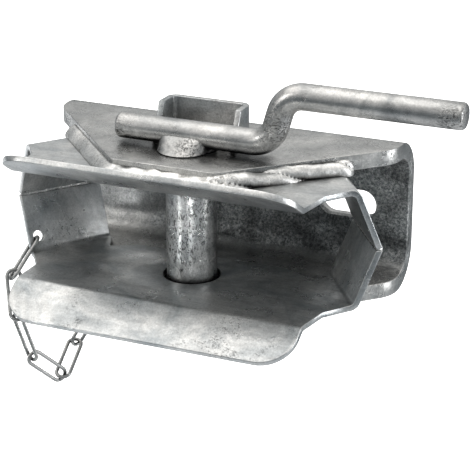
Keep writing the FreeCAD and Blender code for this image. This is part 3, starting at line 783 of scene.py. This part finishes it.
def link_axes(node):
    """Centre, long axis and width axis of a CAD link, from the spread of its surface."""
    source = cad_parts[node].data
    source.calc_loop_triangles()
    corners = np.array([vertex.co for vertex in source.vertices])
    triangles = np.array([triangle.vertices for triangle in source.loop_triangles])
    a, b, c = (corners[triangles[:, k]] for k in range(3))
    area = np.linalg.norm(np.cross(b - a, c - a), axis=1) / 2
    middle = (a + b + c) / 3
    centre = (middle * area[:, None]).sum(axis=0) / area.sum()
    spread = (middle - centre).T @ ((middle - centre) * area[:, None])
    _, vectors = np.linalg.eigh(spread)
    return Vector(centre), Vector(vectors[:, 2]), Vector(vectors[:, 1])


def link_piece(number):
    centre, along, across = link_axes("chain_link_%d" % number)
    normal = along.cross(across)
    corner_count = 22
    straight_count = 14
    flat = []
    for side in (1, -1):
        for k in range(straight_count):
            flat.append((side * LINK_STRAIGHT * (2 * k / straight_count - 1), side * LINK_ARC))
        for k in range(corner_count):
            angle = math.pi * (0.5 - k / corner_count) if side > 0 else math.pi * (-0.5 - k / corner_count)
            flat.append((side * LINK_STRAIGHT + LINK_ARC * math.cos(angle), LINK_ARC * math.sin(angle)))
    route = [centre + along * x + across * y for x, y in flat]
    seam_at = route_length(route[:straight_count + corner_count + straight_count // 2 + 1])

    def radius_at(length, angle):
        seam = math.exp(-((length - seam_at) / (0.5 * MM)) ** 2)
        return LINK_WIRE * (1 - 0.12 * seam)

    return sweep("chain_link_%d_wire" % number, route, radius_at, sides=16, closed=True, up=normal)


LINK_BODIES = [
    "first_link",
    "second_link",
    "third_link",
    "fourth_link",
    "fifth_link",
    "sixth_link",
    "seventh_link",
    "eighth_link",
    "ninth_link",
]
for number, body in enumerate(LINK_BODIES, start=1):
    stand_for(link_piece(number), "chain_link_%d" % number, body, "chain_wire", chain_wire)


# CAD nodes that keep their shape

KEPT = {
    "handle_stop_weld": weld_zinc,
}
for node, material in KEPT.items():
    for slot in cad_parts[node].material_slots:
        slot.material = material


# Floor, lights and camera

FLOOR_Z = -0.42
FLOOR_REACH = 30.0
floor_signs = ((-1, -1), (1, -1), (1, 1), (-1, 1))
floor_corners = [(x * FLOOR_REACH, y * FLOOR_REACH, FLOOR_Z) for x, y in floor_signs]
floor_mesh = bpy.data.meshes.new("floor")
floor_mesh.from_pydata(floor_corners, [], [(0, 1, 2, 3)])
floor_white = Graph("floor_white")
floor_white.shader.inputs["Base Color"].default_value = (0.9, 0.9, 0.9, 1)
floor_white.shader.inputs["Roughness"].default_value = 0.8
floor_white.shader.inputs["Emission Color"].default_value = (1, 1, 1, 1)
floor_white.shader.inputs["Emission Strength"].default_value = 0.9
floor_mesh.materials.append(floor_white.material)
floor = add_object("floor", floor_mesh)
floor.visible_glossy = False
floor.visible_diffuse = False
floor.visible_shadow = False


def brightness_along(sky, component, stops):
    """A world colour that depends on one component of the direction, from -1 to 1."""
    to_unit = sky.nodes.new("ShaderNodeMapRange")
    to_unit.inputs["From Min"].default_value = -1
    sky.links.new(component, to_unit.inputs["Value"])
    ramp = sky.nodes.new("ShaderNodeValToRGB")
    while len(ramp.color_ramp.elements) < len(stops):
        ramp.color_ramp.elements.new(0.5)
    for element, (level, shade) in zip(ramp.color_ramp.elements, stops):
        element.position = (level + 1) / 2
        element.color = (*shade, 1)
    sky.links.new(to_unit.outputs["Result"], ramp.inputs["Fac"])
    return ramp.outputs["Color"]


def sky_mix(sky, kind, first, second):
    node = sky.nodes.new("ShaderNodeMix")
    node.data_type = "RGBA"
    node.blend_type = kind
    node.inputs[0].default_value = 1
    sky.links.new(first, node.inputs[6])
    sky.links.new(second, node.inputs[7])
    return node.outputs[2]


world = bpy.data.worlds.new("studio")
world.use_nodes = True
sky = world.node_tree
direction = sky.nodes.new("ShaderNodeTexCoord").outputs["Generated"]
split = sky.nodes.new("ShaderNodeSeparateXYZ")
sky.links.new(direction, split.inputs["Vector"])
by_height = brightness_along(sky, split.outputs["Z"], [
    (-1.0, (0.47, 0.475, 0.48)),
    (-0.8, (0.42, 0.43, 0.435)),
    (-0.6, (0.27, 0.285, 0.295)),
    (-0.36, (0.10, 0.112, 0.12)),
    (-0.1, (0.042, 0.052, 0.058)),
    (0.15, (0.12, 0.13, 0.135)),
    (0.44, (0.25, 0.25, 0.25)),
    (0.67, (0.42, 0.415, 0.405)),
    (0.87, (0.76, 0.745, 0.72)),
    (1.0, (1.0, 0.98, 0.95)),
])
above = brightness_along(sky, split.outputs["Z"], [(-0.02, (0, 0, 0)), (0.12, (1, 1, 1))])
behind = brightness_along(sky, split.outputs["Y"], [(0.1, (0, 0, 0)), (0.85, (0.13, 0.13, 0.127))])
glow = sky_mix(sky, "MULTIPLY", above, behind)
background = sky.nodes["Background"]
sky.links.new(sky_mix(sky, "ADD", by_height, glow), background.inputs["Color"])
background.inputs["Strength"].default_value = 2.1
bpy.context.scene.world = world


WARM = (1.0, 0.97, 0.93)
NEUTRAL = (1.0, 1.0, 1.0)
MIDDLE = (0, -0.06, 0)


def hang(light, place, aim, power, tint):
    """Put a light in the scene, turned towards a point and unseen by the camera."""
    light.energy = power
    light.color = tint
    lamp = add_object(light.name, light)
    lamp.location = place
    lamp.rotation_euler = (Vector(aim) - Vector(place)).to_track_quat("-Z", "Y").to_euler()
    lamp.visible_camera = False


def softbox(name, place, size, power, tint):
    light = bpy.data.lights.new(name, "AREA")
    light.shape = "RECTANGLE"
    light.size, light.size_y = size
    hang(light, place, MIDDLE, power, tint)


def snoot(name, place, aim, width, power):
    """A soft spot, of a given width in degrees."""
    light = bpy.data.lights.new(name, "SPOT")
    light.spot_size = math.radians(width)
    light.spot_blend = 0.8
    light.shadow_soft_size = 0.05
    hang(light, place, aim, power, NEUTRAL)


softbox("overhead", (-0.45, -0.14, 0.95), (0.9, 0.8), 1.5, WARM)
softbox("left_key", (-0.9, -0.85, 0.5), (0.35, 0.6), 2.5, WARM)
softbox("left_low", (-1.1, 0.3, -0.3), (0.5, 0.5), 1.5, NEUTRAL)
softbox("right_fill", (1.1, 0.16, 0.0), (0.5, 0.8), 7, NEUTRAL)
snoot("jaw_right", (0.17, -0.54, -0.07), (-0.025, -0.05, 0.0), 11, 4)
snoot("jaw_left", (-0.31, -0.55, -0.2), (-0.035, -0.03, 0.0), 11, 5)

azimuth = math.radians(24.03)
elevation = math.radians(20.55)
distance = 867.7 * MM
target = Vector((23.31, -64.87, -3.73)) * MM
outward = Vector((
    math.sin(azimuth) * math.cos(elevation),
    -math.cos(azimuth) * math.cos(elevation),
    math.sin(elevation),
))
camera_data = bpy.data.cameras.new("camera")
camera_data.sensor_width = SENSOR_WIDTH
camera_data.sensor_fit = "HORIZONTAL"
camera_data.lens = SENSOR_WIDTH * PHOTO_FOCAL / PHOTO_SIZE
camera = bpy.data.objects.new("camera", camera_data)
camera.location = target + outward * distance
camera.rotation_euler = (-outward).to_track_quat("-Z", "Y").to_euler()
bpy.context.scene.collection.objects.link(camera)
bpy.context.scene.camera = camera

settings = bpy.context.scene.view_settings
settings.view_transform = "Standard"
settings.look = "None"
